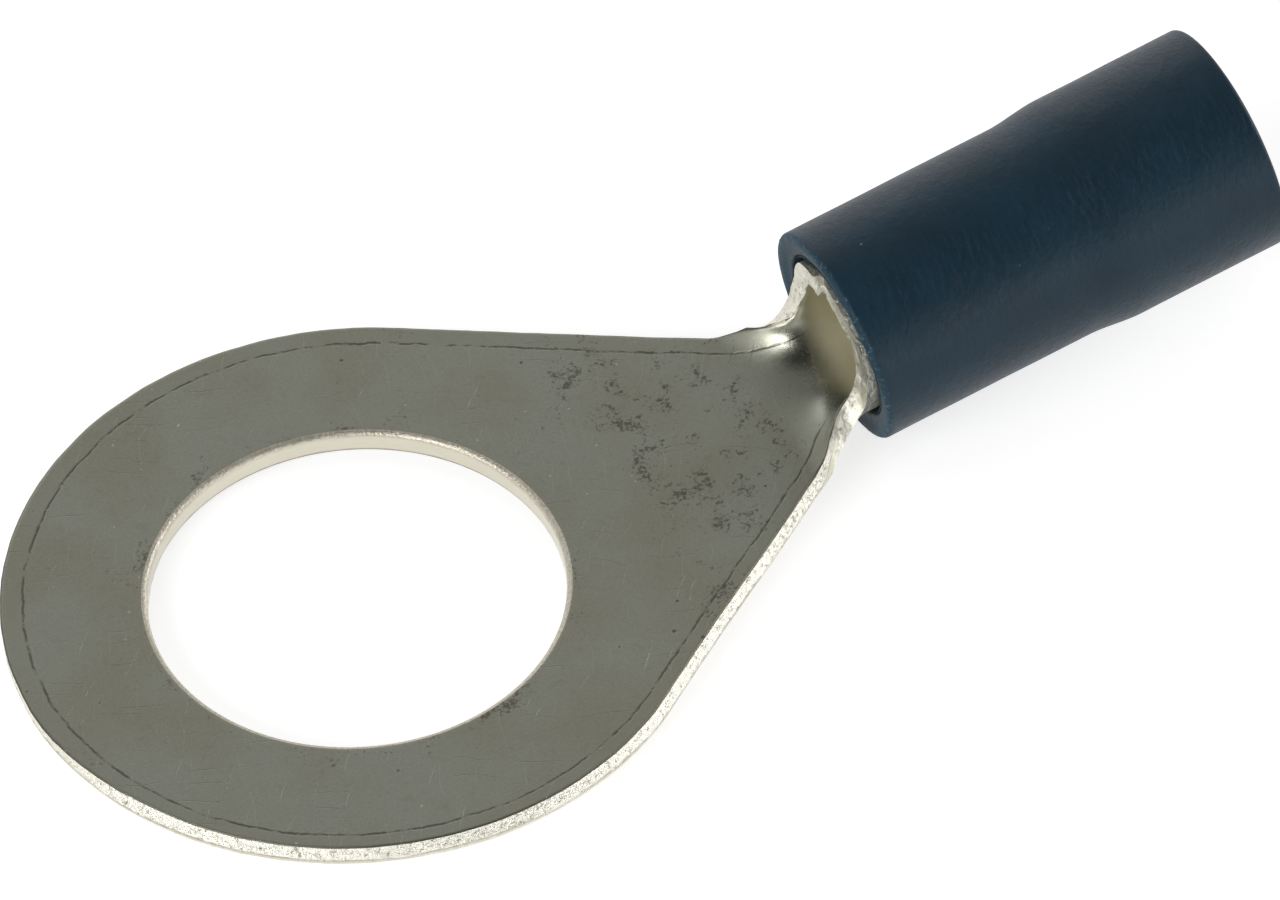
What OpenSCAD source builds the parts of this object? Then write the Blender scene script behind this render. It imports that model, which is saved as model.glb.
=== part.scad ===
// Insulated ring terminal for a crimped wire.
// The terminal is one strip of tinned copper sheet: a flat ring tongue, a neck that
// rises and rolls up at its edges, and a wire barrel rolled to a tube with a butt seam.
// A soft sleeve is pressed over the barrel and reaches past it round the wire's own cover.
// Origin: centre of the stud hole on the tongue's underside. X runs along the strip
// towards the wire, Z is up from the tongue. Sizes are in millimetres and degrees.

/* [Ring tongue] */
// Diameter of the stud hole
stud_hole_d = 8.4; // [6.4:0.1:9.4]
// Outer diameter of the ring
ring_d = 14.3; // [12.4:0.1:17]
// Thickness of the sheet
sheet_t = 0.5; // [0.4:0.05:0.7]
// Radius of the rounding round the hole's top edge
hole_edge_r = 0.12; // [0.05:0.01:0.2]

/* [Neck] */
// Distance along the sheet from the hole's centre to the barrel's front end
reach = 11.05; // [10.5:0.05:14]
// Width of the sheet at the waist in front of the barrel
waist_w = 3.5; // [3:0.1:3.9]
// Distance from the corner of the waist to the barrel's front end
waist_gap = 0.75; // [0.7:0.05:1]
// Radius where the tapered sides run into the waist
waist_fillet = 1.2; // [0.8:0.1:1.8]
// Radius where the waist runs out into the barrel's front edge
shoulder_fillet = 0.6; // [0.4:0.05:0.7]
// Distance over which the sheet rolls up in front of the barrel
curl_l = 1.7; // [1.3:0.1:2]
// Length of the gentle bend that lifts the barrel
bend_l = 2; // [1:0.1:2.4]
// Distance from the end of that bend to the barrel's front end
bend_gap = 1.15; // [1.1:0.05:1.6]
// Angle by which the barrel rises above the tongue
barrel_rise = 6; // [2:0.5:10]

/* [Wire barrel] */
// Bore of the barrel, for the stripped wire
barrel_bore_d = 2.3; // [2:0.1:2.8]
// Length of the barrel
barrel_l = 6; // [5:0.1:7]
// Gap left along the butt seam
seam_gap = 0.06; // [0.04:0.01:0.12]
// Chamfer at the bore's rear edge, where the wire goes in
barrel_lead_in = 0.12; // [0.05:0.01:0.2]

/* [Insulating sleeve] */
// Wall of the sleeve round the barrel
sleeve_wall = 0.65; // [0.5:0.05:0.9]
// Distance from the barrel's front end back to the sleeve's mouth
sleeve_setback = 0.05; // [0.04:0.01:0.3]
// Distance that the sleeve reaches behind the barrel
sleeve_tail = 3.25; // [2.5:0.05:5]
// Depth of the relief inside the sleeve's mouth
mouth_depth = 0.5; // [0.3:0.05:0.8]
// Gap that the relief leaves round the barrel at the mouth
mouth_gap = 0.12; // [0.08:0.01:0.2]
// Step from the barrel's outside to the wider wire entry, on the radius
entry_step = 0.15; // [0.1:0.05:0.3]
// Wall of the sleeve round the wire entry
entry_wall = 0.6; // [0.45:0.05:0.9]
// Length over which the sleeve widens towards the wire entry
flare_l = 1.2; // [0.8:0.1:1.6]
// Chamfer inside the wire entry's rim
entry_chamfer = 0.2; // [0.1:0.05:0.3]
// Radius of the sleeve's outer end edges
sleeve_edge_r = 0.1; // [0.05:0.01:0.2]

/* [Hidden] */
$fn = 96;
hole_r = stud_hole_d / 2;
ring_r = ring_d / 2;
cut_margin = 1;              // how far cutters and cropped stock run past the metal
weld_inset = 0.02;           // how far a blended end sits inside the solid that it joins
weld_l = 0.15;               // how deep that end reaches into it
weld_step = 0.01;            // how far the blend's full section stays clear of the joint
taper_bite = 0.003;          // how far the taper's corners sit inside the ring's edge
taper_lead = 0.5;            // least run of the taper before its first curved station
taper_steps = 8;
fillet_reach = 0.995;        // share of the shoulder fillet used before it turns vertical

// Waist, and the taper that is tangent to the ring and meets the waist's corner.
waist_half = waist_w / 2;
waist_x = reach - waist_gap;
taper = asin(ring_r / norm([waist_x, waist_half])) - atan2(waist_half, waist_x);
fillet_run = waist_fillet * tan(taper / 2);
fillet_start = waist_x - fillet_run * cos(taper);
fillet_end = waist_x + fillet_run;
taper_start = ring_r * sin(taper);

// Side view of the sheet: flat, then a gentle bend up, then straight to the barrel.
bend_start = reach - bend_gap - bend_l;
bend_r = bend_l / (barrel_rise * PI / 180);
curl_start = reach - curl_l;
bend_steps = 8;

// Barrel and sleeve radii.
bore_r = barrel_bore_d / 2;
barrel_r = bore_r + sheet_t;
roll_r = bore_r + sheet_t / 2;
sleeve_r = barrel_r + sleeve_wall;
entry_r = barrel_r + entry_step;
sleeve_rear_r = entry_r + entry_wall;
sleeve_l = barrel_l - sleeve_setback + sleeve_tail;

// Stations along the rolled neck, and points across it.
curl_steps = 22;
across_steps = 16;
edge_steps = 6;

// Angle of the sheet at distance u along it.
function slope(u) = barrel_rise * min(1, max(0, (u - bend_start) / bend_l));

// Point of the sheet's underside at distance u along it, as [x, z].
function under(u) =
    u <= bend_start ? [u, 0]
    : [bend_start + bend_r * sin(slope(u)), bend_r * (1 - cos(slope(u)))]
        + max(0, u - bend_start - bend_l) * [cos(slope(u)), sin(slope(u))];

// The same point raised by h square to the sheet.
function above(u, h) = under(u) + h * [-sin(slope(u)), cos(slope(u))];

// Half-width of the tongue at x, from the ring's tangent point on.
function tongue_half(x) =
    x <= fillet_start ? (ring_r - x * sin(taper)) / cos(taper)
    : x >= fillet_end ? waist_half
    : waist_half + waist_fillet - sqrt(pow(waist_fillet, 2) - pow(fillet_end - x, 2));

// What the shoulder fillet adds to the half-width at distance u along the sheet.
function shoulder(u) =
    let (run = min(shoulder_fillet * fillet_reach, max(0, u - reach + shoulder_fillet)))
    shoulder_fillet - sqrt(pow(shoulder_fillet, 2) - pow(run, 2));

// Share of the barrel's full curl at distance u, easing in from the flat neck.
function curl(u) =
    let (s = min(1, max(0, (u - curl_start) / curl_l)))
    s * s * (3 - 2 * s);

// Outline across the sheet at distance u, narrowed and thinned by inset on every side.
function neck_section(u, inset) =
    let (bend = max(0.0001, curl(u)) / roll_r,
         half = tongue_half(under(u)[0]) + shoulder(u) - inset,
         skin = sheet_t / 2 - inset)
    [for (side = [1, -1], i = [0 : across_steps])
        let (s = side * half * (2 * i / across_steps - 1),
             a = bend * s * 180 / PI,
             y = sin(a) / bend + side * skin * sin(a),
             h = sheet_t / 2 + (1 - cos(a)) / bend - side * skin * cos(a),
             p = above(u, h))
        [p[0], y, p[1]]];

// Skin over a row of outlines that all have the same number of points.
module loft(sections) {
    n = len(sections[0]);
    last = len(sections) - 1;
    walls = [for (k = [0 : last - 1], i = [0 : n - 1])
        let (j = (i + 1) % n)
        each [[k * n + i, (k + 1) * n + j, k * n + j],
              [k * n + i, (k + 1) * n + i, (k + 1) * n + j]]];
    half = n / 2;
    caps = [for (k = [0, last], i = [0 : half - 2])
        let (a = k * n + i, b = a + 1, d = k * n + n - 1 - i, c = d - 1)
        each k == 0 ? [[a, b, c], [a, c, d]] : [[a, c, b], [a, d, c]]];
    polyhedron(points = [for (s = sections) each s], faces = concat(walls, caps));
}

// Moves children from the barrel's own frame, with X along its axis, to its place.
module along_barrel() {
    seat = above(reach, barrel_r);
    translate([seat[0], 0, seat[1]]) rotate([0, -barrel_rise, 0]) children();
}

// A round solid along X from its profile, whose points are [distance along X, radius].
module turned(profile) {
    rotate([0, 90, 0]) rotate_extrude() polygon([for (p = profile) [p[1], p[0]]]);
}

// Plan of the tapered tongue, from inside the ring to the start of the rolled neck.
module taper_plan() {
    end = under(curl_start)[0];
    from = max(taper_start + taper_lead, fillet_start);
    curved = end > from ? [for (i = [0 : taper_steps]) from + (end - from) * i / taper_steps]
                        : [end];
    side = concat([[0, hole_r], [taper_start, tongue_half(taper_start) - taper_bite]],
                  [for (x = curved) [x, tongue_half(x)]]);
    polygon(concat(side, [for (i = [len(side) - 1 : -1 : 0]) [side[i][0], -side[i][1]]]));
}

// Side view of the sheet from the ring's far edge to the start of the rolled neck.
module tongue_profile() {
    stations = concat([-ring_r - cut_margin],
                      [for (i = [0 : bend_steps])
                          bend_start + (curl_start - bend_start) * i / bend_steps]);
    polygon(concat([for (u = stations) under(u)],
                   [for (i = [len(stations) - 1 : -1 : 0]) above(stations[i], sheet_t)]));
}

module tongue() {
    intersection() {
        union() {
            cylinder(h = barrel_r, r = ring_r);
            linear_extrude(barrel_r) taper_plan();
        }
        rotate([90, 0, 0])
            linear_extrude(ring_d + 2 * cut_margin, center = true) tongue_profile();
    }
}

// Sheet that goes from flat to the barrel's round, with its end inside both solids.
module rolled_neck() {
    run = curl_l - 2 * weld_step;
    loft(concat([neck_section(curl_start - weld_l, weld_inset)],
                [for (i = [0 : curl_steps - 1])
                    neck_section(curl_start + weld_step + run * i / (curl_steps - 1), 0)],
                [neck_section(reach + weld_l, weld_inset)]));
}

module barrel() {
    difference() {
        rotate([0, 90, 0]) cylinder(h = barrel_l, r = barrel_r);
        translate([-cut_margin, 0, 0]) rotate([0, 90, 0])
            cylinder(h = barrel_l + 2 * cut_margin, r = bore_r);
        translate([barrel_l - barrel_lead_in, 0, 0]) rotate([0, 90, 0])
            cylinder(h = 2 * barrel_lead_in, r1 = bore_r, r2 = bore_r + 2 * barrel_lead_in);
        translate([-cut_margin, -seam_gap / 2, 0])
            cube([barrel_l + 2 * cut_margin, seam_gap, barrel_r + cut_margin]);
    }
}

// Stock that rounds over the hole's top edge.
module hole_rounding() {
    r = hole_edge_r;
    arc = [for (i = [0 : edge_steps]) let (a = 90 * i / edge_steps)
        [hole_r + r - r * cos(a), sheet_t - r + r * sin(a)]];
    rotate_extrude()
        polygon(concat([[hole_r - r, sheet_t - r]], arc,
                       [[hole_r + r, sheet_t + r], [hole_r - r, sheet_t + r]]));
}

module crimp_terminal() {
    color([0.46, 0.46, 0.41])
    difference() {
        union() {
            tongue();
            rolled_neck();
            along_barrel() barrel();
        }
        translate([0, 0, -cut_margin]) cylinder(h = sheet_t + 2 * cut_margin, r = hole_r);
        hole_rounding();
    }
}

module insulating_sleeve() {
    rear = sleeve_l;
    flare_end = barrel_l - sleeve_setback;
    e = sleeve_edge_r;
    front_arc = [for (i = [0 : edge_steps]) let (a = 90 * i / edge_steps)
        [e - e * sin(a), sleeve_r - e + e * cos(a)]];
    rear_arc = [for (i = [0 : edge_steps]) let (a = 90 * i / edge_steps)
        [rear - e + e * cos(a), sleeve_rear_r - e + e * sin(a)]];
    color([0.05, 0.15, 0.25])
    along_barrel() translate([sleeve_setback, 0, 0])
        turned(concat(
            [[mouth_depth, barrel_r],
             [flare_end, barrel_r],
             [flare_end + flare_l / 2, entry_r],
             [rear - entry_chamfer, entry_r],
             [rear, entry_r + entry_chamfer]],
            rear_arc,
            [[flare_end, sleeve_rear_r],
             [flare_end - flare_l, sleeve_r]],
            front_arc,
            [[0, barrel_r + mouth_gap]]));
}

crimp_terminal();
insulating_sleeve();
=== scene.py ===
import math

import bpy
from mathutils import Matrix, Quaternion, Vector, noise
from mathutils.geometry import delaunay_2d_cdt
from mathutils.kdtree import KDTree


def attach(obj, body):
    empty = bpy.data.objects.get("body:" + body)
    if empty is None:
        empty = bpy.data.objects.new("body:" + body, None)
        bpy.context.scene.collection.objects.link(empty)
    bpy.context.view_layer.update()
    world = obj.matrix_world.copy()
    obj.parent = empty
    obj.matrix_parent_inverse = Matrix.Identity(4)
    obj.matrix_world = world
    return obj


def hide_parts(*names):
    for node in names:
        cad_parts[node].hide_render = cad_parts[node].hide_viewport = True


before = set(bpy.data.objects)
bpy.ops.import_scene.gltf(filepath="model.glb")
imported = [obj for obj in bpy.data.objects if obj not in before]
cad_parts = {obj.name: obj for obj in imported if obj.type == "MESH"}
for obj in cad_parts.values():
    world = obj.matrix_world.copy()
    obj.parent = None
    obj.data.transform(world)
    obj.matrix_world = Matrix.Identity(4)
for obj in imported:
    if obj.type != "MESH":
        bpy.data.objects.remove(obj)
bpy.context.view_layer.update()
print("frame loaded:", sorted(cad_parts))

mm = 0.001


def clamp(value, low=0.0, high=1.0):
    return max(low, min(high, value))


def ease(value):
    value = clamp(value)
    return value * value * (3 - 2 * value)


def lumps(x, y, z, scale, seed=0.0):
    return noise.noise(Vector((x / scale + seed, y / scale - seed, z / scale + 2 * seed)))


def addMesh(name, points, faces, slots, sharpAngle):
    mesh = bpy.data.meshes.new(name)
    mesh.from_pydata([tuple(c * mm for c in p) for p in points], [], faces)
    mesh.polygons.foreach_set("material_index", slots)
    mesh.polygons.foreach_set("use_smooth", [True] * len(faces))
    mesh.set_sharp_from_angle(angle=math.radians(sharpAngle))
    mesh.update()
    piece = bpy.data.objects.new(name, mesh)
    bpy.context.scene.collection.objects.link(piece)
    return piece


def addPointVectors(piece, name, values):
    layer = piece.data.attributes.new(name, "FLOAT_VECTOR", "POINT")
    layer.data.foreach_set("vector", [c for v in values for c in v])


# The terminal is one strip of sheet. Sizes in millimetres, the same as the solid's; u runs along
# the flat strip, s across it and h up through the sheet.
terminal = {
    "holeRadius": 4.2,
    "ringRadius": 7.15,
    "thickness": 0.5,
    "reach": 11.05,
    "waistHalf": 1.75,
    "waistGap": 0.75,
    "waistFillet": 1.2,
    "shoulderFillet": 0.6,
    "curlLength": 1.7,
    "bendLength": 2.0,
    "bendGap": 1.15,
    "rise": math.radians(6),
    "boreRadius": 1.15,
    "barrelLength": 6.0,
    "seamGap": 0.06,
    "rollOver": (0.38, 0.25),      # rounded lower edge of the stamped outline: run and rise
    "holeTopRound": 0.12,
    "holeBottomRound": 0.06,
    "topBevel": 0.03,
    "outlineStep": 0.085,
    "edgeRows": (0.02, 0.05, 0.09, 0.14, 0.2, 0.27, 0.34, 0.42),
    "holeRows": (0.015, 0.04, 0.075, 0.12, 0.18, 0.27),
    "plateStep": 0.26,
    "neckStep": 0.085,
    "barrelSteps": (0.3, 0.11),
    "outlineWave": 0.012,          # how uneven the stamped outline is
    "neckFrom": 9.7,               # where the edges of the neck start to be torn
    "neckWave": 0.025,
    "tornLumps": 0.06,             # how far the torn half of those edges stands out
    "tornFrom": 0.26,              # height at which the smooth shear turns to the torn face
    "nearTrim": ((-8, 0.08), (3.5, 0.08), (6, 0.15), (10.86, 0.14), (11.06, 0.0)),
    "topBreak": 0.14,              # how far the torn face leans in above the smooth shear, near side
    "seamTurn": 0.1,               # how far the seam lies to the far side of the top
    "frontFar": ((90, 0.0), (100, 0.1), (150, 0.1), (165, 0.05), (172, 0.07), (178, 0.16)),
    "frontNear": ((90, -0.05), (105, 0.0), (122, 0.05), (166, 0.055), (176, 0.09), (184, 0.2)),
    "seamDip": (130, 150, 160, 172, 0.15),    # the far rolled end turns inwards between these angles
}
tm = terminal
rollRadius = tm["boreRadius"] + tm["thickness"] / 2
waistX = tm["reach"] - tm["waistGap"]
taper = math.asin(tm["ringRadius"] / math.hypot(waistX, tm["waistHalf"]))
taper -= math.atan2(tm["waistHalf"], waistX)
filletRun = tm["waistFillet"] * math.tan(taper / 2)
filletStart = waistX - filletRun * math.cos(taper)
filletEnd = waistX + filletRun
taperStart = tm["ringRadius"] * math.sin(taper)
bendStart = tm["reach"] - tm["bendGap"] - tm["bendLength"]
bendRadius = tm["bendLength"] / tm["rise"]
curlStart = tm["reach"] - tm["curlLength"]
blankHalf = math.pi * rollRadius - tm["seamGap"] / 2
stripEnd = tm["reach"] + tm["barrelLength"]


def slope(u):
    return tm["rise"] * clamp((u - bendStart) / tm["bendLength"])


def above(u, height):
    angle = slope(u)
    if u <= bendStart:
        x, z = u, 0.0
    else:
        past = max(0.0, u - bendStart - tm["bendLength"])
        x = bendStart + bendRadius * math.sin(angle) + past * math.cos(angle)
        z = bendRadius * (1 - math.cos(angle)) + past * math.sin(angle)
    return x - height * math.sin(angle), z + height * math.cos(angle)


def tongueHalf(x):
    if x <= filletStart:
        return (tm["ringRadius"] - x * math.sin(taper)) / math.cos(taper)
    if x >= filletEnd:
        return tm["waistHalf"]
    drop = filletEnd - x
    return tm["waistHalf"] + tm["waistFillet"] - math.sqrt(tm["waistFillet"] ** 2 - drop * drop)


def stripHalf(u):
    if u > tm["reach"]:
        return blankHalf
    r = tm["shoulderFillet"]
    run = clamp(u - tm["reach"] + r, 0.0, r * 0.995)
    return tongueHalf(above(u, 0)[0]) + r - math.sqrt(r * r - run * run)


def curl(u):
    return ease((u - curlStart) / tm["curlLength"])


def rolled(u, s, h):
    bend = max(0.0001, curl(u)) / rollRadius
    angle = bend * s
    skin = h - tm["thickness"] / 2
    mouth = ease((u - tm["reach"] + 0.5) / 0.4) * (1 - ease((u - tm["reach"] - 0.6) / 2.2))
    start, full, drop, end, depth = tm["seamDip"]
    turn = math.degrees(angle)
    dip = depth * mouth * ease((turn - start) / (full - start))
    dip *= 1 - ease((turn - drop) / (end - drop))
    reachOut = 1 / bend - skin - dip
    x, z = above(u, tm["thickness"] / 2 + 1 / bend - reachOut * math.cos(angle))
    return x, reachOut * math.sin(angle), z


def sampled(points, step):
    out = []
    for a, b in zip(points, points[1:]):
        n = max(1, round(math.dist(a, b) / step))
        out += [(a[0] + (b[0] - a[0]) * i / n, a[1] + (b[1] - a[1]) * i / n) for i in range(n)]
    return out


def stripOutline():
    r, step = tm["ringRadius"], tm["outlineStep"]
    start, stop = math.pi / 2 - taper, 1.5 * math.pi + taper
    n = round(r * (stop - start) / step)
    turns = [start + (stop - start) * i / n for i in range(n)]
    arc = [(r * math.cos(a), r * math.sin(a)) for a in turns]
    stations = [taperStart]
    while stations[-1] < tm["reach"]:
        u = stations[-1]
        rate = (stripHalf(min(u + 0.01, tm["reach"])) - stripHalf(u)) / 0.01
        stations.append(u + step / math.hypot(1, rate))
    stations[-1] = tm["reach"]
    side = [(u, -stripHalf(u)) for u in stations]
    corners = [(tm["reach"], -stripHalf(tm["reach"])), (tm["reach"], -blankHalf)]
    corners += [(stripEnd, -blankHalf), (stripEnd, 0)]
    lower = side + sampled(corners, step)[1:]
    upper = [(u, -s) for u, s in lower[::-1]]
    return arc + lower + [(stripEnd, 0.0)] + upper[:-1]


def between(pairs, value):
    for (a, one), (b, two) in zip(pairs, pairs[1:]):
        if value <= b:
            return one + (two - one) * clamp((value - a) / (b - a))
    return pairs[-1][1]


def asCut(u, s):
    # the real cut: barrel's front edge not quite square, seam turned, near side narrower
    if s < 0:
        rolledEnd = ease((-s - 2.0) / 0.3) * ease((u - 10.5) / 0.3)
        s += between(tm["nearTrim"], u) * ease(-s / 1.5) * (1 - rolledEnd)
    if u <= waistX - 0.4:
        return u, s
    if abs(s) > tm["waistHalf"] + 0.02:
        front = between(tm["frontFar"] if s > 0 else tm["frontNear"], math.degrees(abs(s) / rollRadius))
        front *= ease((abs(s) - tm["waistHalf"] - 0.02) / 0.4) * (1 - ease((u - tm["reach"]) / 1.2))
        u += front
    s -= tm["seamTurn"] * ease((abs(s) - 2.6) / 1.4)
    return u, s


def outwardNormals(points):
    out = []
    n = len(points)
    for i in range(n):
        (ax, ay), (bx, by) = points[i - 1], points[(i + 1) % n]
        d = math.hypot(bx - ax, by - ay) or 1
        out.append(((by - ay) / d, (ax - bx) / d))
    return out


def unevened(points):
    out = []
    for (u, s), (nu, ns) in zip(points, outwardNormals(points)):
        neck = ease((u - tm["neckFrom"]) / 0.5) * (1 - ease((u - tm["reach"] + 0.06) / 0.06))
        wave = tm["outlineWave"] * (lumps(u, s, 0, 0.7, 3) + 0.5 * lumps(u, s, 0, 0.25, 5))
        wave += tm["neckWave"] * neck * (lumps(u, s, 0, 0.33, 11) + 0.6 * lumps(u, s, 0, 0.17, 17))
        quiet = 0.25 if u > tm["reach"] - 0.01 else 1.0
        out.append(asCut(u + nu * wave * quiet, s + ns * wave * quiet))
    return out


def edgeFinder(points):
    tree = KDTree(len(points))
    for i, (u, s) in enumerate(points):
        tree.insert((u, s, 0), i)
    tree.balance()
    n = len(points)

    def distance(u, s):
        i = tree.find((u, s, 0))[1]
        best = (1e9, 0, 0)
        for a, b in ((points[i - 1], points[i]), (points[i], points[(i + 1) % n])):
            du, ds = b[0] - a[0], b[1] - a[1]
            t = clamp(((u - a[0]) * du + (s - a[1]) * ds) / (du * du + ds * ds + 1e-12))
            gu, gs = u - a[0] - t * du, s - a[1] - t * ds
            gap = math.hypot(gu, gs)
            best = min(best, (gap, gu / (gap + 1e-9), gs / (gap + 1e-9)))
        return best

    return distance


def inside(outline):
    # whether a point of the flat strip lies within the uneven outline
    def test(u, s):
        hit = False
        for (au, av), (bu, bv) in near.get(round(s * 10), ()):
            if (av > s) != (bv > s) and u < au + (s - av) * (bu - au) / (bv - av):
                hit = not hit
        return hit

    near = {}
    for one, two in zip(outline, outline[1:] + outline[:1]):
        for row in range(round(min(one[1], two[1]) * 10) - 1, round(max(one[1], two[1]) * 10) + 2):
            near.setdefault(row, []).append((one, two))
    return test


def tornPush(u, s, h):
    # how far the torn upper half of the neck's edges stands out of the smooth half
    neck = ease((u - tm["neckFrom"]) / 0.5)
    neck *= 1 - 0.6 * ease((u - tm["reach"] + 0.1) / 0.1)
    neck *= 1 - ease((u - tm["reach"] - 0.25) / 0.1)
    torn = ease((h - tm["tornFrom"]) / 0.06)
    big = lumps(u, s, h * 0.8, 0.3, 11) + 0.5 * lumps(u, s, h, 0.13, 31)
    return neck * torn * tm["tornLumps"] * (0.35 + 1.5 * big)


def leaning(u, s, inS):
    # how far the top edge lies inside the smooth shear, on the side whose inward direction is +s
    return tm["topBreak"] * ease(inS / 0.5) * (1 - ease((u - 9.5) / 0.5))


def makeTerminal():
    outline = unevened(stripOutline())
    toOutline = edgeFinder(outline)
    inStrip = inside(outline)
    holeCount = round(2 * math.pi * tm["holeRadius"] / tm["outlineStep"])
    ring = [2 * math.pi * i / holeCount for i in range(holeCount)]
    hole = [(tm["holeRadius"] * math.cos(a), tm["holeRadius"] * math.sin(a)) for a in ring]
    inner = []
    for d in tm["edgeRows"]:
        for (u, s), (nu, ns) in zip(outline, outwardNormals(outline)):
            p = (u - nu * d, s - ns * d)
            if inStrip(*p) and toOutline(*p)[0] > 0.94 * d:
                inner.append(p)
    for d in tm["holeRows"]:
        r = tm["holeRadius"] + d
        inner += [(r * math.cos(a), r * math.sin(a)) for a in ring]
    edgeMargin, holeMargin = tm["edgeRows"][-1], tm["holeRadius"] + tm["holeRows"][-1]

    def fill(uLow, uHigh, uStep, sStep):
        rows = int((uHigh - uLow) / uStep) + 1
        for i in range(rows):
            u = uLow + i * uStep
            cols = int(8.0 / sStep) + 1
            for j in range(-cols, cols + 1):
                s = (j + 0.5 * (i % 2)) * sStep
                gap = 0.55 * min(uStep, sStep)
                clear = inStrip(u, s) and math.hypot(u, s) > holeMargin + gap
                if clear and toOutline(u, s)[0] > edgeMargin + gap:
                    inner.append((u, s))

    neckFrom, neckTo = curlStart - 0.35, tm["reach"] + 0.5
    fill(-tm["ringRadius"], neckFrom - 0.1, tm["plateStep"], tm["plateStep"])
    fill(neckFrom, neckTo, tm["neckStep"], tm["neckStep"])
    fill(neckTo + 0.15, stripEnd, *tm["barrelSteps"])

    given = outline + hole + inner
    loopEdges = [(i, (i + 1) % len(outline)) for i in range(len(outline))]
    base = len(outline)
    loopEdges += [(base + i, base + (i + 1) % len(hole)) for i in range(len(hole))]
    flat, _, cells, cameFrom, _, _ = delaunay_2d_cdt([Vector(p) for p in given], loopEdges, [], 1, 1e-6)
    place = {}
    for i, sources in enumerate(cameFrom):
        for source in sources:
            place[source] = i

    def outsideHole(cell):
        middle = [sum(flat[i][k] for i in cell) / 3 for k in (0, 1)]
        return math.hypot(*middle) > tm["holeRadius"] * 0.9995

    cells = [cell for cell in cells if outsideHole(cell)]
    onOutline = {place[i]: normal for i, normal in enumerate(outwardNormals(outline))}
    onHole = {place[base + i] for i in range(len(hole))}

    t = tm["thickness"]
    points, sheetCoords, margins, top, bottom = [], [], [], [], []

    def addPoint(u, s, h, edge, holeGap):
        points.append(rolled(u, s, h))
        sheetCoords.append((u, s, h))
        margins.append((edge, holeGap, 0))
        return len(points) - 1

    run, rise = tm["rollOver"]
    for i, p in enumerate(flat):
        u, s = p
        if i in onOutline:
            edge, inU, inS = 0.0, -onOutline[i][0], -onOutline[i][1]
        else:
            edge, inU, inS = toOutline(u, s)
        holeGap = 0.0 if i in onHole else math.hypot(u, s) - tm["holeRadius"]
        high, low = t, 0.0
        if edge < 0.05:
            high -= tm["topBevel"] * (1 - edge / 0.05) ** 2
        if edge < run:
            low = rise * (1 - math.sqrt(1 - ((run - edge) / run) ** 2)) * (1 - ease((u - 9.3) / 0.6))
        if holeGap < tm["holeTopRound"]:
            r = tm["holeTopRound"]
            high -= r * (1 - math.sqrt(max(0, 1 - ((r - holeGap) / r) ** 2)))
        if holeGap < tm["holeBottomRound"]:
            r = tm["holeBottomRound"]
            low += r * (1 - math.sqrt(max(0, 1 - ((r - holeGap) / r) ** 2)))
        neck = ease((u - tm["neckFrom"]) / 0.5) * (1 - ease((u - tm["reach"]) / 0.1))
        high += 0.05 * neck * (1 - clamp(edge / 0.2)) * lumps(u, s, 0, 0.3, 23)
        lean = leaning(u, s, inS) * clamp(1 - edge / edgeMargin)
        if edge == 0:
            lean -= tornPush(u, s, high)
        top.append(addPoint(u + inU * lean, s + inS * lean, high, edge, holeGap))
        bottom.append(addPoint(u, s, low, edge, holeGap))

    faces, slots = [], []
    for a, b, c in cells:
        (au, av), (bu, bv), (cu, cv) = flat[a], flat[b], flat[c]
        if (bu - au) * (cv - av) - (bv - av) * (cu - au) < 0:
            b, c = c, b
        faces += [(top[a], top[b], top[c]), (bottom[a], bottom[c], bottom[b])]
        nearEdge = max(margins[top[i]][0] for i in (a, b, c)) < run + 0.03
        nearHole = max(margins[top[i]][1] for i in (a, b, c)) < tm["holeTopRound"] + 0.01
        slots += [2 if nearHole else 0, 1 if nearEdge else 0]

    farOff = 9.0

    def addWall(loop, normals, rows, slot, roughness, outer):
        columns = []
        for (index, (nu, ns)) in zip(loop, normals):
            u, s = flat[index]
            lean = leaning(u, s, -ns) if outer else 0.0
            high, low = sheetCoords[top[index]][2], sheetCoords[bottom[index]][2]
            column = [top[index]]
            for k in range(1, rows):
                h = high + (low - high) * k / rows
                push = roughness * min(1, k, rows - k) * (lumps(u, s, h * 1.5, 0.13, 31) - 0.4)
                if outer:
                    push += tornPush(u, s, h) - lean * clamp((h - 0.3) / (high - 0.3))
                gaps = (0.0, farOff) if outer else (farOff, 0.0)
                column.append(addPoint(u + nu * push, s + ns * push, h, *gaps))
            column.append(bottom[index])
            columns.append(column)
        n = len(columns)
        for i in range(n):
            one, two = columns[i], columns[(i + 1) % n]
            for k in range(rows):
                quad = (one[k], one[k + 1], two[k + 1], two[k])
                faces.append(quad if outer else quad[::-1])
                slots.append(slot)

    addWall([place[i] for i in range(len(outline))], outwardNormals(outline), 9, 1, 0.015, True)
    inward = [(-math.cos(a), -math.sin(a)) for a in ring]
    addWall([place[base + i] for i in range(len(hole))], inward, 6, 2, 0.004, False)
    piece = addMesh("crimpTerminal", points, faces, slots, 55)
    addPointVectors(piece, "strip", sheetCoords)
    addPointVectors(piece, "margin", margins)
    return piece


terminalPiece = makeTerminal()
print("terminal made:", len(terminalPiece.data.polygons), "faces")

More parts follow.
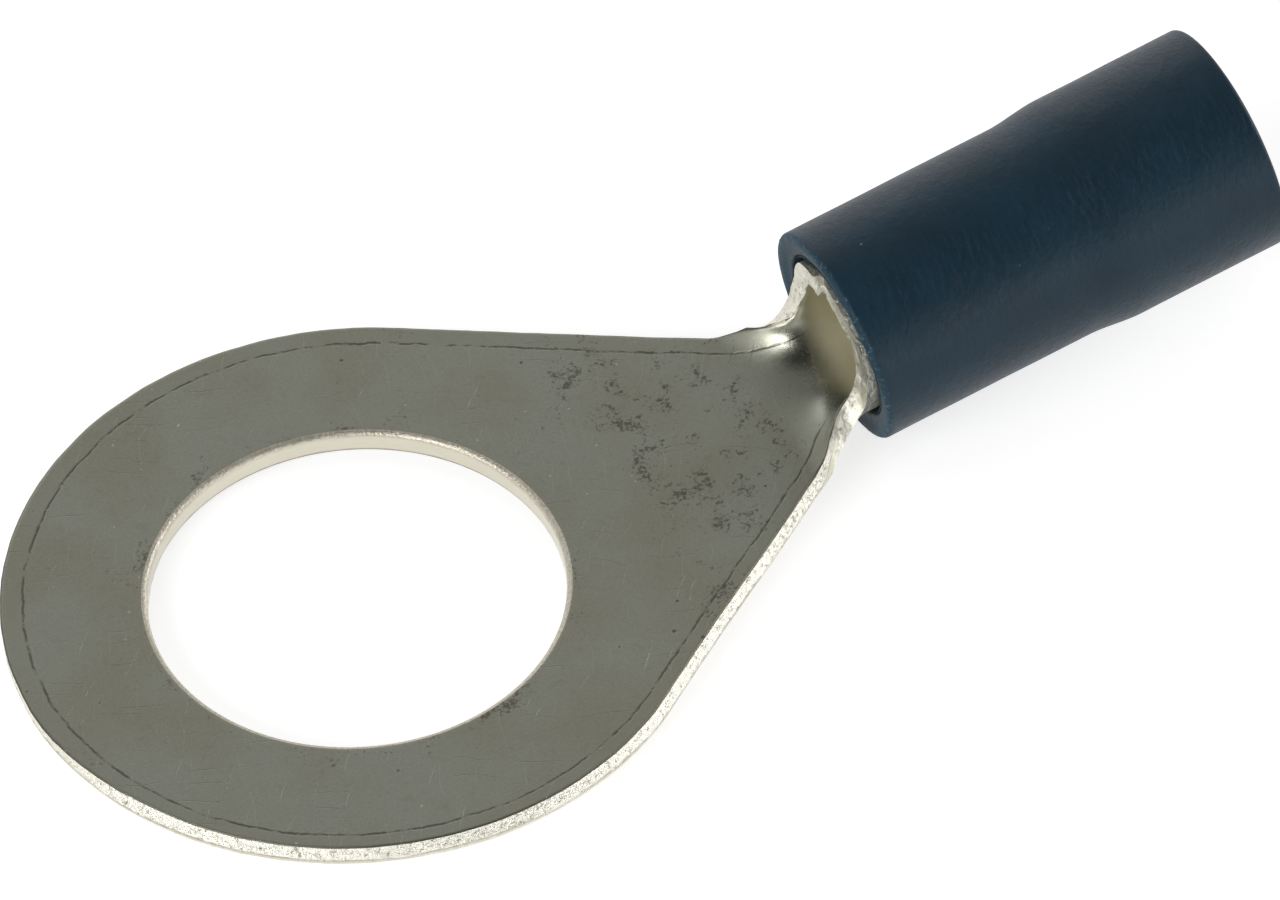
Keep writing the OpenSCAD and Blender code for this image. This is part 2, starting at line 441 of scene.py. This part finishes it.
# The sleeve is turned about the barrel's axis. Distances run back from the barrel's front end.
sleeve = {
    "mouthX": 0.05,
    "length": 9.2,
    "frontRadius": 2.3,
    "rearRadius": 2.4,
    "gripRadius": 1.65,
    "mouthGap": 0.12,
    "mouthDepth": 0.5,
    "dish": 0.08,                  # how far the mouth's inner edge is drawn in
    "entryRadius": 1.8,
    "entryChamfer": 0.2,
    "entryFlat": 1.2,
    "entryFrom": 6.55,
    "gripTo": 5.95,
    "edgeRadius": 0.1,
    "flare": (4.75, 5.95),
    "around": 192,
    "alongStep": 0.1,
}
sl = sleeve
seatX, seatZ = above(tm["reach"], rollRadius + tm["thickness"] / 2)


def sleeveProfile():
    # (distance along the sleeve, radius), from inside the mouth over the outside to the wire entry
    length, e = sl["length"], sl["edgeRadius"]
    flareFrom, flareTo = sl["flare"]
    grip, depth, entry = sl["gripRadius"], sl["mouthDepth"], sl["entryRadius"]
    profile = [(flareTo - 0.4, grip), (depth + 0.1, grip), (depth, grip)]
    profile += [(depth * (1 - i / 6), grip + sl["mouthGap"] * i / 6) for i in range(1, 6)]
    inner = grip + sl["mouthGap"]
    dish = sl["dish"]
    profile += [(dish + 0.06, inner + 0.01), (dish + 0.02, inner + 0.03)]
    for i in range(10):
        r = inner + 0.06 + (sl["frontRadius"] - e - inner - 0.06) * i / 10
        profile.append((dish * (1 - ease(i / 9)), r))
    for i in range(7):
        a = math.pi / 2 * i / 6
        profile.append((e - e * math.cos(a), sl["frontRadius"] - e + e * math.sin(a)))
    count = int((length - 2 * e) / sl["alongStep"])
    for i in range(1, count):
        x = e + (length - 2 * e) * i / count
        flared = ease((x - flareFrom) / (flareTo - flareFrom))
        profile.append((x, sl["frontRadius"] + (sl["rearRadius"] - sl["frontRadius"]) * flared))
    for i in range(7):
        a = math.pi / 2 * i / 6
        profile.append((length - e + e * math.sin(a), sl["rearRadius"] - e + e * math.cos(a)))
    rim = sl["entryRadius"] + sl["entryChamfer"]
    for i in range(1, 4):
        profile.append((length, sl["rearRadius"] - e + (rim - sl["rearRadius"] + e) * i / 3))
    profile += [(length - sl["entryChamfer"], entry), (length - sl["entryFlat"], entry)]
    profile += [(sl["entryFrom"], entry), (sl["gripTo"], grip)]
    return profile


def makeSleeve():
    profile = sleeveProfile()
    cosR, sinR = math.cos(tm["rise"]), math.sin(tm["rise"])
    points, coords, faces = [], [], []
    n = sl["around"]
    for k, (x, r) in enumerate(profile):
        outside = ease((r - 2.0) / 0.2)
        for j in range(n):
            a = 2 * math.pi * j / n
            side, up = sl["frontRadius"] * math.cos(a), sl["frontRadius"] * math.sin(a)
            wave = 0.012 * outside * lumps(x, side, up, 1.6, 41)
            nick = 0.02 * (1 - ease(x / 0.12)) * outside * lumps(x * 3, side, up, 0.16, 43)
            rr = r + wave - abs(nick)
            ax, ay, az = x + sl["mouthX"], rr * math.sin(a), rr * math.cos(a)
            points.append((seatX + ax * cosR - az * sinR, ay, seatZ + ax * sinR + az * cosR))
            coords.append((x, r, a))
    rows = len(profile)
    for k in range(rows - 1):
        for j in range(n):
            i = (j + 1) % n
            faces.append((k * n + j, k * n + i, (k + 1) * n + i, (k + 1) * n + j))
    piece = addMesh("insulatingSleeve", points, faces, [0] * len(faces), 50)
    addPointVectors(piece, "turned", coords)
    return piece


sleevePiece = makeSleeve()
print("sleeve made:", len(sleevePiece.data.polygons), "faces")


# Shader helpers, then the effects that the materials share.
def addNode(tree, kind, inputs=None, **settings):
    node = tree.nodes.new(kind)
    for key, value in settings.items():
        setattr(node, key, value)
    for key, value in (inputs or {}).items():
        if isinstance(value, bpy.types.NodeSocket):
            tree.links.new(value, node.inputs[key])
        else:
            node.inputs[key].default_value = value
    return node


def calc(tree, operation, *values):
    return addNode(tree, "ShaderNodeMath", dict(enumerate(values)), operation=operation).outputs[0]


def vectorCalc(tree, operation, inputs):
    return addNode(tree, "ShaderNodeVectorMath", inputs, operation=operation).outputs[0]


def ramp(tree, value, low, high, toLow=0.0, toHigh=1.0):
    inputs = {"Value": value, "From Min": low, "From Max": high, "To Min": toLow, "To Max": toHigh}
    node = addNode(tree, "ShaderNodeMapRange", inputs, interpolation_type="SMOOTHSTEP")
    return node.outputs["Result"]


def blend(tree, factor, one, two, way="MIX"):
    node = addNode(tree, "ShaderNodeMix", data_type="RGBA", blend_type=way)
    for index, value in ((0, factor), (6, one), (7, two)):
        if isinstance(value, bpy.types.NodeSocket):
            tree.links.new(value, node.inputs[index])
        else:
            node.inputs[index].default_value = value if index == 0 else (*value, 1)
    return node.outputs[2]


def stretched(tree, vector, scale):
    return vectorCalc(tree, "MULTIPLY", {0: vector, 1: scale})


def noiseOf(tree, vector, scale, detail=3.0, roughness=0.5, distortion=0.0):
    inputs = {"Vector": vector, "Scale": scale, "Detail": detail}
    inputs.update({"Roughness": roughness, "Distortion": distortion})
    return addNode(tree, "ShaderNodeTexNoise", inputs).outputs["Fac"]


def effectGroup(name, inputs, outputs):
    group = bpy.data.node_groups.new(name, "ShaderNodeTree")
    for label, kind, value in inputs:
        socket = group.interface.new_socket(name=label, in_out="INPUT", socket_type=kind)
        if value is not None:
            socket.default_value = value
    for label in outputs:
        group.interface.new_socket(name=label, in_out="OUTPUT", socket_type="NodeSocketFloat")
    return group, group.nodes.new("NodeGroupInput").outputs, group.nodes.new("NodeGroupOutput").inputs


def useGroup(tree, group, **inputs):
    node = addNode(tree, "ShaderNodeGroup", node_tree=group)
    for key, value in inputs.items():
        if isinstance(value, bpy.types.NodeSocket):
            tree.links.new(value, node.inputs[key])
        else:
            node.inputs[key].default_value = value
    return node.outputs[0]


vectorKind, floatKind = "NodeSocketVector", "NodeSocketFloat"


def makeScratches():
    inputs = [("Vector", vectorKind, None), ("Angle", floatKind, 0.0), ("Scale", floatKind, 1.0)]
    inputs += [("Length", floatKind, 12.0), ("Width", floatKind, 0.06)]
    group, given, made = effectGroup("fineScratches", inputs, ["Mask"])
    axis = addNode(group, "ShaderNodeCombineXYZ", {"Z": 1.0}).outputs[0]
    warp = addNode(group, "ShaderNodeTexNoise", {"Vector": given["Vector"], "Scale": 0.5}).outputs["Color"]
    bent = vectorCalc(group, "SCALE", {0: warp, "Scale": 0.9})
    moved = vectorCalc(group, "ADD", {0: given["Vector"], 1: bent})
    turned = addNode(group, "ShaderNodeVectorRotate", {"Vector": moved, "Axis": axis, "Angle": given["Angle"]}).outputs[0]
    parts = addNode(group, "ShaderNodeSeparateXYZ", {0: turned}).outputs
    along = calc(group, "MULTIPLY", parts[0], calc(group, "DIVIDE", given["Scale"], given["Length"]))
    across = calc(group, "MULTIPLY", parts[1], given["Scale"])
    cell = addNode(group, "ShaderNodeCombineXYZ", {"X": along, "Y": across, "Z": parts[2]}).outputs[0]
    cells = addNode(group, "ShaderNodeTexVoronoi", {"Vector": cell, "Scale": 1.0}, voronoi_dimensions="2D").outputs
    pick = addNode(group, "ShaderNodeSeparateColor", {0: cells["Color"]}).outputs
    offset = vectorCalc(group, "SUBTRACT", {0: cell, 1: cells["Position"]})
    apart = addNode(group, "ShaderNodeSeparateXYZ", {0: offset}).outputs
    thin = ramp(group, calc(group, "ABSOLUTE", apart[1]), 0.0, given["Width"], 1.0, 0.0)
    ends = ramp(group, calc(group, "ABSOLUTE", apart[0]), 0.15, 0.45, 1.0, 0.0)
    chosen = ramp(group, pick[0], 0.45, 0.9)
    group.links.new(calc(group, "MULTIPLY", calc(group, "MULTIPLY", thin, ends), chosen), made["Mask"])
    return group


def makeSmudges():
    inputs = [("Vector", vectorKind, None), ("Scale", floatKind, 1.0)]
    inputs += [("Cover", floatKind, 0.4), ("Grit", floatKind, 0.5)]
    group, given, made = effectGroup("smudges", inputs, ["Mask"])
    patch = noiseOf(group, given["Vector"], given["Scale"], 4.0, 0.6, 0.4)
    fine = noiseOf(group, given["Vector"], calc(group, "MULTIPLY", given["Scale"], 9.0), 3.0, 0.7)
    level = calc(group, "SUBTRACT", 0.78, calc(group, "MULTIPLY", given["Cover"], 0.5))
    mixed = calc(group, "ADD", patch, calc(group, "MULTIPLY", calc(group, "SUBTRACT", fine, 0.5), given["Grit"]))
    mask = ramp(group, calc(group, "SUBTRACT", mixed, level), 0.0, 0.14)
    group.links.new(mask, made["Mask"])
    return group


def makeSpecks():
    inputs = [("Vector", vectorKind, None), ("Scale", floatKind, 4.0)]
    inputs += [("Share", floatKind, 0.1), ("Radius", floatKind, 0.15)]
    group, given, made = effectGroup("specks", inputs, ["Mask"])
    finer = calc(group, "MULTIPLY", given["Scale"], 3.0)
    wobble = addNode(group, "ShaderNodeTexNoise", {"Vector": given["Vector"], "Scale": finer}).outputs["Color"]
    reach = calc(group, "DIVIDE", 0.16, given["Scale"])
    small = vectorCalc(group, "SCALE", {0: wobble, "Scale": reach})
    moved = vectorCalc(group, "ADD", {0: given["Vector"], 1: small})
    cells = addNode(group, "ShaderNodeTexVoronoi", {"Vector": moved, "Scale": given["Scale"]}).outputs
    pick = addNode(group, "ShaderNodeSeparateColor", {0: cells["Color"]}).outputs
    chosen = calc(group, "GREATER_THAN", pick[0], calc(group, "SUBTRACT", 1.0, given["Share"]))
    size = calc(group, "MULTIPLY", given["Radius"], calc(group, "ADD", pick[1], 0.4))
    spot = ramp(group, calc(group, "SUBTRACT", cells["Distance"], size), -0.05, 0.02, 1.0, 0.0)
    group.links.new(calc(group, "MULTIPLY", chosen, spot), made["Mask"])
    return group


scratches, smudges, specks = makeScratches(), makeSmudges(), makeSpecks()


def newMaterial(name):
    material = bpy.data.materials.new(name)
    material.use_nodes = True
    return material, material.node_tree, material.node_tree.nodes["Principled BSDF"]


def finish(tree, shader, colour, roughness, height, bump, strength):
    tree.links.new(colour, shader.inputs["Base Color"])
    tree.links.new(roughness, shader.inputs["Roughness"])
    normal = addNode(tree, "ShaderNodeBump", {"Height": height, "Distance": bump * mm, "Strength": strength})
    tree.links.new(normal.outputs[0], shader.inputs["Normal"])


def sheetInputs(tree):
    strip = addNode(tree, "ShaderNodeAttribute", attribute_name="strip").outputs["Vector"]
    margin = addNode(tree, "ShaderNodeAttribute", attribute_name="margin").outputs["Vector"]
    along = addNode(tree, "ShaderNodeSeparateXYZ", {0: strip}).outputs
    gaps = addNode(tree, "ShaderNodeSeparateXYZ", {0: margin}).outputs
    return strip, along, gaps


# Tin plating on the faces of the sheet.
tin = {
    "plate": (0.30, 0.31, 0.26),
    "warm": (0.285, 0.28, 0.225),
    "stain": (0.075, 0.068, 0.052),
    "brown": (0.13, 0.095, 0.068),
    "bright": (0.62, 0.61, 0.53),
    # painted light: a much lighter copy of the tin colour for the inside of the barrel
    "bore": (0.74, 0.70, 0.53),
    "rimTan": (0.36, 0.32, 0.25),
    "contour": 0.46,               # how far the stamping's contour mark lies inside the edge
}


def makeTinPlate():
    material, tree, shader = newMaterial("tinPlate")
    shader.inputs["Metallic"].default_value = 1.0
    strip, along, gaps = sheetInputs(tree)
    u, s = along[0], along[1]
    edge, holeGap = gaps[0], gaps[1]
    tone = noiseOf(tree, strip, 0.45, 2.0)
    grain = noiseOf(tree, strip, 16.0, 4.0, 0.75)
    mottle = noiseOf(tree, strip, 3.2, 5.0, 0.7, 0.3)
    colour = blend(tree, ramp(tree, tone, 0.35, 0.7), tin["plate"], tin["warm"])
    colour = blend(tree, ramp(tree, mottle, 0.5, 0.75, 0.0, 0.22), colour, tin["brown"])
    uneven = calc(tree, "ADD", calc(tree, "MULTIPLY", grain, 0.5), calc(tree, "MULTIPLY", mottle, 0.26))
    lift = calc(tree, "ADD", 0.62, uneven)
    grey = addNode(tree, "ShaderNodeCombineColor", {0: lift, 1: lift, 2: lift}).outputs[0]
    colour = blend(tree, 1.0, colour, grey, "MULTIPLY")

    inner = ramp(tree, edge, tin["contour"] - 0.02, tin["contour"] + 0.05)
    fringe = calc(tree, "SUBTRACT", 1.0, inner)
    colour = blend(tree, calc(tree, "MULTIPLY", fringe, 0.35), colour, tin["warm"])
    sway = noiseOf(tree, strip, 1.6, 4.0, 0.65)
    wander = calc(tree, "MULTIPLY", calc(tree, "SUBTRACT", sway, 0.5), 0.16)
    offLine = calc(tree, "SUBTRACT", calc(tree, "ADD", edge, wander), tin["contour"])
    offLine = calc(tree, "ABSOLUTE", offLine)
    line = ramp(tree, offLine, 0.005, 0.045, 1.0, 0.0)
    broken = ramp(tree, noiseOf(tree, strip, 2.3, 4.0, 0.7), 0.36, 0.56)
    line = calc(tree, "MULTIPLY", line, broken)
    colour = blend(tree, calc(tree, "MULTIPLY", line, 0.75), colour, tin["stain"])
    crease = ramp(tree, edge, 0.008, 0.05, 1.0, 0.0)
    colour = blend(tree, calc(tree, "MULTIPLY", crease, 0.8), colour, tin["stain"])

    dirtyNeck = calc(tree, "MULTIPLY", ramp(tree, u, 4.6, 6.6), ramp(tree, u, 9.2, 10.2, 1.0, 0.0))
    dirtyHole = ramp(tree, holeGap, 0.1, 0.8, 1.0, 0.0)
    cover = calc(tree, "MULTIPLY", calc(tree, "ADD", dirtyNeck, dirtyHole), 0.3)
    cover = calc(tree, "ADD", 0.12, cover)
    dirt = useGroup(tree, smudges, Vector=strip, Scale=1.3, Cover=cover, Grit=0.75)
    colour = blend(tree, calc(tree, "MULTIPLY", dirt, 0.62), colour, tin["stain"])
    pits = useGroup(tree, specks, Vector=strip, Scale=2.6, Share=0.16, Radius=0.1)
    colour = blend(tree, calc(tree, "MULTIPLY", pits, 0.7), colour, tin["stain"])
    dots = useGroup(tree, specks, Vector=strip, Scale=5.0, Share=0.08, Radius=0.12)
    colour = blend(tree, calc(tree, "MULTIPLY", dots, 0.5), colour, tin["bright"])
    marks = None
    for angle, scale, length, width in ((0.5, 2.2, 3.0, 0.03), (2.3, 2.6, 2.6, 0.03)):
        mark = useGroup(tree, scratches, Vector=strip, Angle=angle, Scale=scale, Length=length, Width=width)
        marks = mark if marks is None else calc(tree, "MAXIMUM", marks, mark)
    colour = blend(tree, calc(tree, "MULTIPLY", marks, 0.22), colour, tin["stain"])
    shine = useGroup(tree, scratches, Vector=strip, Angle=1.9, Scale=2.4, Length=3.0, Width=0.025)
    colour = blend(tree, calc(tree, "MULTIPLY", shine, 0.18), colour, tin["bright"])

    rim = ramp(tree, holeGap, 0.05, 0.2, 1.0, 0.0)
    colour = blend(tree, calc(tree, "MULTIPLY", rim, 0.7), colour, tin["rimTan"])
    rolledUp = ramp(tree, u, 9.9, 10.5)
    # painted light: the trough and the inside of the barrel get the lighter copy of the tin colour
    colour = blend(tree, ramp(tree, u, 10.6, 11.4), colour, tin["bore"])

    rough = calc(tree, "ADD", 0.40, calc(tree, "MULTIPLY", grain, 0.16))
    rough = calc(tree, "ADD", rough, calc(tree, "MULTIPLY", dirt, 0.18))
    rough = calc(tree, "SUBTRACT", rough, calc(tree, "MULTIPLY", rolledUp, 0.22))
    rough = calc(tree, "ADD", rough, ramp(tree, u, 10.7, 11.2, 0.0, 0.3))
    height = calc(tree, "ADD", calc(tree, "MULTIPLY", grain, 0.5), calc(tree, "MULTIPLY", mottle, 0.4))
    height = calc(tree, "SUBTRACT", height, calc(tree, "MULTIPLY", marks, 0.5))
    height = calc(tree, "SUBTRACT", height, calc(tree, "MULTIPLY", line, 0.8))
    height = calc(tree, "SUBTRACT", height, calc(tree, "MULTIPLY", pits, 0.7))
    quiet = calc(tree, "SUBTRACT", 1.0, calc(tree, "MULTIPLY", rolledUp, 0.7))
    height = calc(tree, "MULTIPLY", height, quiet)
    finish(tree, shader, colour, rough, height, 0.012, 0.8)
    return material


cutEdge = {
    "burnished": (0.66, 0.62, 0.50),
    "torn": (0.88, 0.86, 0.76),
    # painted shade: dark colour for the hollows of the torn face
    "paintedHollowShade": (0.30, 0.28, 0.22),
    "tornFrom": 0.25,              # height on the wall where the smooth shear turns to a torn face
}


def makeCutEdge():
    material, tree, shader = newMaterial("cutEdge")
    shader.inputs["Metallic"].default_value = 1.0
    strip, along, gaps = sheetInputs(tree)
    u, h = along[0], along[2]
    sway = calc(tree, "MULTIPLY", calc(tree, "SUBTRACT", noiseOf(tree, strip, 1.1, 3.0), 0.5), 0.14)
    upper = ramp(tree, calc(tree, "ADD", h, sway), cutEdge["tornFrom"] - 0.02, cutEdge["tornFrom"] + 0.03)
    neck = ramp(tree, u, 9.7, 10.2)
    torn = calc(tree, "MAXIMUM", upper, calc(tree, "MULTIPLY", neck, 0.75))
    chips = noiseOf(tree, strip, 9.0, 4.0, 0.75)
    drawn = noiseOf(tree, stretched(tree, strip, (6.0, 6.0, 1.2)), 1.6, 3.0, 0.6)
    smooth = blend(tree, ramp(tree, drawn, 0.35, 0.7, 0.0, 0.5), cutEdge["burnished"], cutEdge["torn"])
    # painted shade: the low points of the chips relief are darkened
    rough = blend(tree, ramp(tree, chips, 0.32, 0.5, 0.85, 0.0), cutEdge["torn"], cutEdge["paintedHollowShade"])
    colour = blend(tree, torn, smooth, rough)
    crease = ramp(tree, h, 0.455, 0.5)
    colour = blend(tree, calc(tree, "MULTIPLY", crease, 0.7), colour, tin["stain"])
    coarse = calc(tree, "ADD", 0.3, calc(tree, "MULTIPLY", torn, 0.06))
    relief = calc(tree, "ADD", calc(tree, "MULTIPLY", torn, 2.2), 0.15)
    height = calc(tree, "ADD", calc(tree, "MULTIPLY", chips, relief), calc(tree, "MULTIPLY", drawn, 0.25))
    finish(tree, shader, colour, coarse, height, 0.02, 1.0)
    return material


# holeEdge's lower colour is painted shade: a dark line along the foot of the hole's wall
# holeEdge's rough colour is a painted grainy highlight on the rounded top edge of the hole
holeEdge = {"wall": (0.70, 0.67, 0.56), "lower": (0.30, 0.22, 0.16), "rough": (0.85, 0.83, 0.74)}


def makeHoleEdge():
    material, tree, shader = newMaterial("holeEdge")
    shader.inputs["Metallic"].default_value = 1.0
    strip, along, gaps = sheetInputs(tree)
    h, holeGap = along[2], gaps[1]
    grain = noiseOf(tree, strip, 14.0, 3.0, 0.7)
    band = noiseOf(tree, stretched(tree, strip, (1.0, 1.0, 5.0)), 2.0, 3.0)
    colour = blend(tree, ramp(tree, band, 0.35, 0.7, 0.0, 0.4), holeEdge["wall"], cutEdge["burnished"])
    rounded = ramp(tree, h, 0.37, 0.44)
    # painted highlight: grainy near-white glints on the rounded top edge of the hole's wall
    paintedGrittyGlint = calc(tree, "MULTIPLY", rounded, ramp(tree, grain, 0.42, 0.58))
    colour = blend(tree, calc(tree, "MULTIPLY", rounded, 0.6), colour, tin["rimTan"])
    colour = blend(tree, calc(tree, "MULTIPLY", paintedGrittyGlint, 0.35), colour, holeEdge["rough"])
    # painted shade: the foot of the hole's wall is darkened towards the lower colour
    paintedFootShade = ramp(tree, calc(tree, "ADD", h, calc(tree, "MULTIPLY", band, 0.06)), 0.07, 0.12, 1.0, 0.0)
    colour = blend(tree, calc(tree, "MULTIPLY", paintedFootShade, 0.8), colour, holeEdge["lower"])
    rough = calc(tree, "ADD", 0.3, calc(tree, "MULTIPLY", rounded, 0.12))
    height = calc(tree, "MULTIPLY", grain, calc(tree, "ADD", calc(tree, "MULTIPLY", rounded, 1.6), 0.15))
    finish(tree, shader, colour, rough, height, 0.015, 0.9)
    return material


pvc = {
    "navy": (0.0030, 0.0240, 0.0430),
    "deep": (0.0022, 0.0180, 0.0330),
    "worn": (0.030, 0.085, 0.130),
    "fleck": (0.11, 0.26, 0.33),
}


def makePvc():
    material, tree, shader = newMaterial("bluePvc")
    shader.inputs["Specular IOR Level"].default_value = 0.3
    place = addNode(tree, "ShaderNodeTexCoord").outputs["Object"]
    place = vectorCalc(tree, "SCALE", {0: place, "Scale": 1 / mm})
    turned = addNode(tree, "ShaderNodeAttribute", attribute_name="turned").outputs["Vector"]
    parts = addNode(tree, "ShaderNodeSeparateXYZ", {0: turned}).outputs
    x, r = parts[0], parts[1]
    tone = noiseOf(tree, place, 0.7, 3.0, 0.6)
    pebble = noiseOf(tree, place, 9.0, 3.0, 0.6)
    crinkle = noiseOf(tree, stretched(tree, place, (2.6, 1.0, 1.0)), 3.4, 5.0, 0.7, 0.6)
    swell = noiseOf(tree, place, 1.1, 2.0)
    colour = blend(tree, ramp(tree, tone, 0.35, 0.7), pvc["navy"], pvc["deep"])
    dust = useGroup(tree, specks, Vector=place, Scale=3.0, Share=0.07, Radius=0.07)
    colour = blend(tree, calc(tree, "MULTIPLY", dust, 0.6), colour, pvc["fleck"])
    face = ramp(tree, x, 0.0, 0.13, 1.0, 0.0)
    outer = calc(tree, "MULTIPLY", face, ramp(tree, r, 2.1, 2.25))
    inner = calc(tree, "MULTIPLY", face, ramp(tree, r, 1.8, 1.92, 1.0, 0.0))
    flakes = ramp(tree, noiseOf(tree, place, 7.0, 5.0, 0.75, 0.8), 0.5, 0.62)
    cut = calc(tree, "MULTIPLY", calc(tree, "MAXIMUM", outer, inner), flakes)
    colour = blend(tree, calc(tree, "MULTIPLY", face, 0.35), colour, pvc["worn"])
    colour = blend(tree, calc(tree, "MULTIPLY", cut, 0.55), colour, pvc["fleck"])
    rough = calc(tree, "ADD", 0.34, calc(tree, "MULTIPLY", crinkle, 0.2))
    rough = calc(tree, "ADD", rough, calc(tree, "MULTIPLY", face, 0.15))
    height = calc(tree, "ADD", calc(tree, "MULTIPLY", pebble, 0.55), calc(tree, "MULTIPLY", crinkle, 1.0))
    height = calc(tree, "ADD", height, calc(tree, "MULTIPLY", swell, 1.5))
    height = calc(tree, "ADD", height, calc(tree, "MULTIPLY", cut, 1.2))
    finish(tree, shader, colour, rough, height, 0.02, 0.9)
    return material


for material in (makeTinPlate(), makeCutEdge(), makeHoleEdge()):
    terminalPiece.data.materials.append(material)
sleevePiece.data.materials.append(makePvc())
print("materials made")

dressed = (
    (terminalPiece, "crimp_terminal", "tinned_copper"),
    (sleevePiece, "insulating_sleeve", "blue_pvc"),
)
for piece, node, slotName in dressed:
    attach(piece, "root")
    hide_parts(node)

# Stage, light and camera. The part lies on the far edge of its ring and on the front of its sleeve.
stage = {"restFar": (-7.15, 0.0), "restSleeve": (11.1, -0.43), "size": 3.0, "glow": 0.72}
dx = stage["restSleeve"][0] - stage["restFar"][0]
dz = stage["restSleeve"][1] - stage["restFar"][1]
lean = math.atan2(dz, dx)
half = stage["size"] / 2
floorMesh = bpy.data.meshes.new("floor")
floorCorners = [(-half, -half, 0), (half, -half, 0), (half, half, 0), (-half, half, 0)]
floorMesh.from_pydata(floorCorners, [], [(0, 1, 2, 3)])
floor = bpy.data.objects.new("floor", floorMesh)
bpy.context.scene.collection.objects.link(floor)
floor.rotation_euler = (0, -lean, 0)
floor.location = (stage["restFar"][0] * mm, 0, -0.00001)
floorMaterial = bpy.data.materials.new("whitePaper")
floorMaterial.use_nodes = True
tree = floorMaterial.node_tree
paper = tree.nodes["Principled BSDF"]
paper.inputs["Base Color"].default_value = (0.5, 0.5, 0.5, 1)
paper.inputs["Roughness"].default_value = 0.9
paper.inputs["Specular IOR Level"].default_value = 0.0
rays = addNode(tree, "ShaderNodeLightPath").outputs
seen = calc(tree, "MAXIMUM", rays["Is Glossy Ray"], rays["Is Transmission Ray"])
seen = calc(tree, "MAXIMUM", rays["Is Camera Ray"], seen)
seen = calc(tree, "MULTIPLY", seen, stage["glow"])
glow = addNode(tree, "ShaderNodeEmission", {"Color": (1, 1, 1, 1), "Strength": seen}).outputs[0]
both = addNode(tree, "ShaderNodeAddShader", {0: paper.outputs[0], 1: glow}).outputs[0]
tree.links.new(both, tree.nodes["Material Output"].inputs["Surface"])
floor.data.materials.append(floorMaterial)

room = {
    "level": 1.0,
    "byHeight": ((-0.2, 0.9), (0.05, 0.95), (0.35, 0.6), (0.75, 0.5), (1.0, 0.4)),
    "darkSide": (-0.295, -0.612, 0.734),   # the unlit part of the room
    "darkTo": 0.06,
}
world = bpy.data.worlds.new("softRoom")
bpy.context.scene.world = world
world.use_nodes = True
tree = world.node_tree
background = tree.nodes["Background"]
heading = addNode(tree, "ShaderNodeTexCoord").outputs["Generated"]
heightOf = addNode(tree, "ShaderNodeSeparateXYZ", {0: heading}).outputs[2]
span = {"Value": heightOf, "From Min": -0.2, "From Max": 1.0}
scaled = addNode(tree, "ShaderNodeMapRange", span).outputs["Result"]
shade = addNode(tree, "ShaderNodeValToRGB", {0: scaled})
stops = shade.color_ramp.elements
while len(stops) < len(room["byHeight"]):
    stops.new(0.5)
for stop, (h, level) in zip(stops, room["byHeight"]):
    stop.position = (h + 0.2) / 1.2
    stop.color = (level, level, level, 1)
facing = addNode(tree, "ShaderNodeVectorMath", {0: heading, 1: room["darkSide"]}, operation="DOT_PRODUCT")
facing = facing.outputs["Value"]
dimming = ramp(tree, facing, 0.45, 0.95, 1.0, room["darkTo"])
lit = vectorCalc(tree, "SCALE", {0: shade.outputs[0], "Scale": dimming})
rays = addNode(tree, "ShaderNodeLightPath").outputs
skyColour = blend(tree, rays["Is Camera Ray"], lit, (1, 1, 1))
tree.links.new(skyColour, background.inputs["Color"])
background.inputs["Strength"].default_value = room["level"]

# name, direction from the part, distance, width, height, brightness
lamps = (
    ("left", (-0.8, -0.33, 0.5), 0.5, 0.3, 0.2, 8.0),
    ("right", (0.95, -0.1, 0.26), 0.5, 0.2, 0.2, 7.0),
    ("front", (0.3, -0.95, 0.12), 0.5, 0.3, 0.14, 3.0),
    ("back", (0.1, 0.9, 0.35), 0.6, 0.5, 0.2, 1.2),
)
for name, direction, distance, width, height, brightness in lamps:
    lampData = bpy.data.lights.new(name, "AREA")
    lampData.shape = "RECTANGLE"
    lampData.size, lampData.size_y = width, height
    lampData.energy = brightness * math.pi * width * height
    lamp = bpy.data.objects.new(name, lampData)
    bpy.context.scene.collection.objects.link(lamp)
    heading = Vector(direction).normalized()
    lamp.location = Vector((0.007, 0, 0.001)) + heading * distance
    lamp.rotation_mode = "QUATERNION"
    lamp.rotation_quaternion = heading.to_track_quat("Z", "Y")
    lamp.visible_camera = False

bpy.context.scene.view_settings.view_transform = "Standard"

view = {
    "azimuth": -25.731,
    "elevation": 47.231,
    "lean": -3.645,
    "distance": 0.42,
    "lens": 590.57,
    "aim": (0.0061171, -0.0007208, 0.0018559),
}
azimuth, elevation = math.radians(view["azimuth"]), math.radians(view["elevation"])
level = math.cos(elevation)
back = Vector((math.sin(azimuth) * level, -math.cos(azimuth) * level, math.sin(elevation)))
cameraData = bpy.data.cameras.new("camera")
cameraData.sensor_width = 36
cameraData.lens = view["lens"]
cameraData.clip_start = 0.01
cameraData.clip_end = 10
camera = bpy.data.objects.new("camera", cameraData)
bpy.context.scene.collection.objects.link(camera)
camera.rotation_mode = "QUATERNION"
camera.rotation_quaternion = Quaternion(back, math.radians(view["lean"])) @ back.to_track_quat("Z", "Y")
camera.location = Vector(view["aim"]) + back * view["distance"]
bpy.context.scene.camera = camera
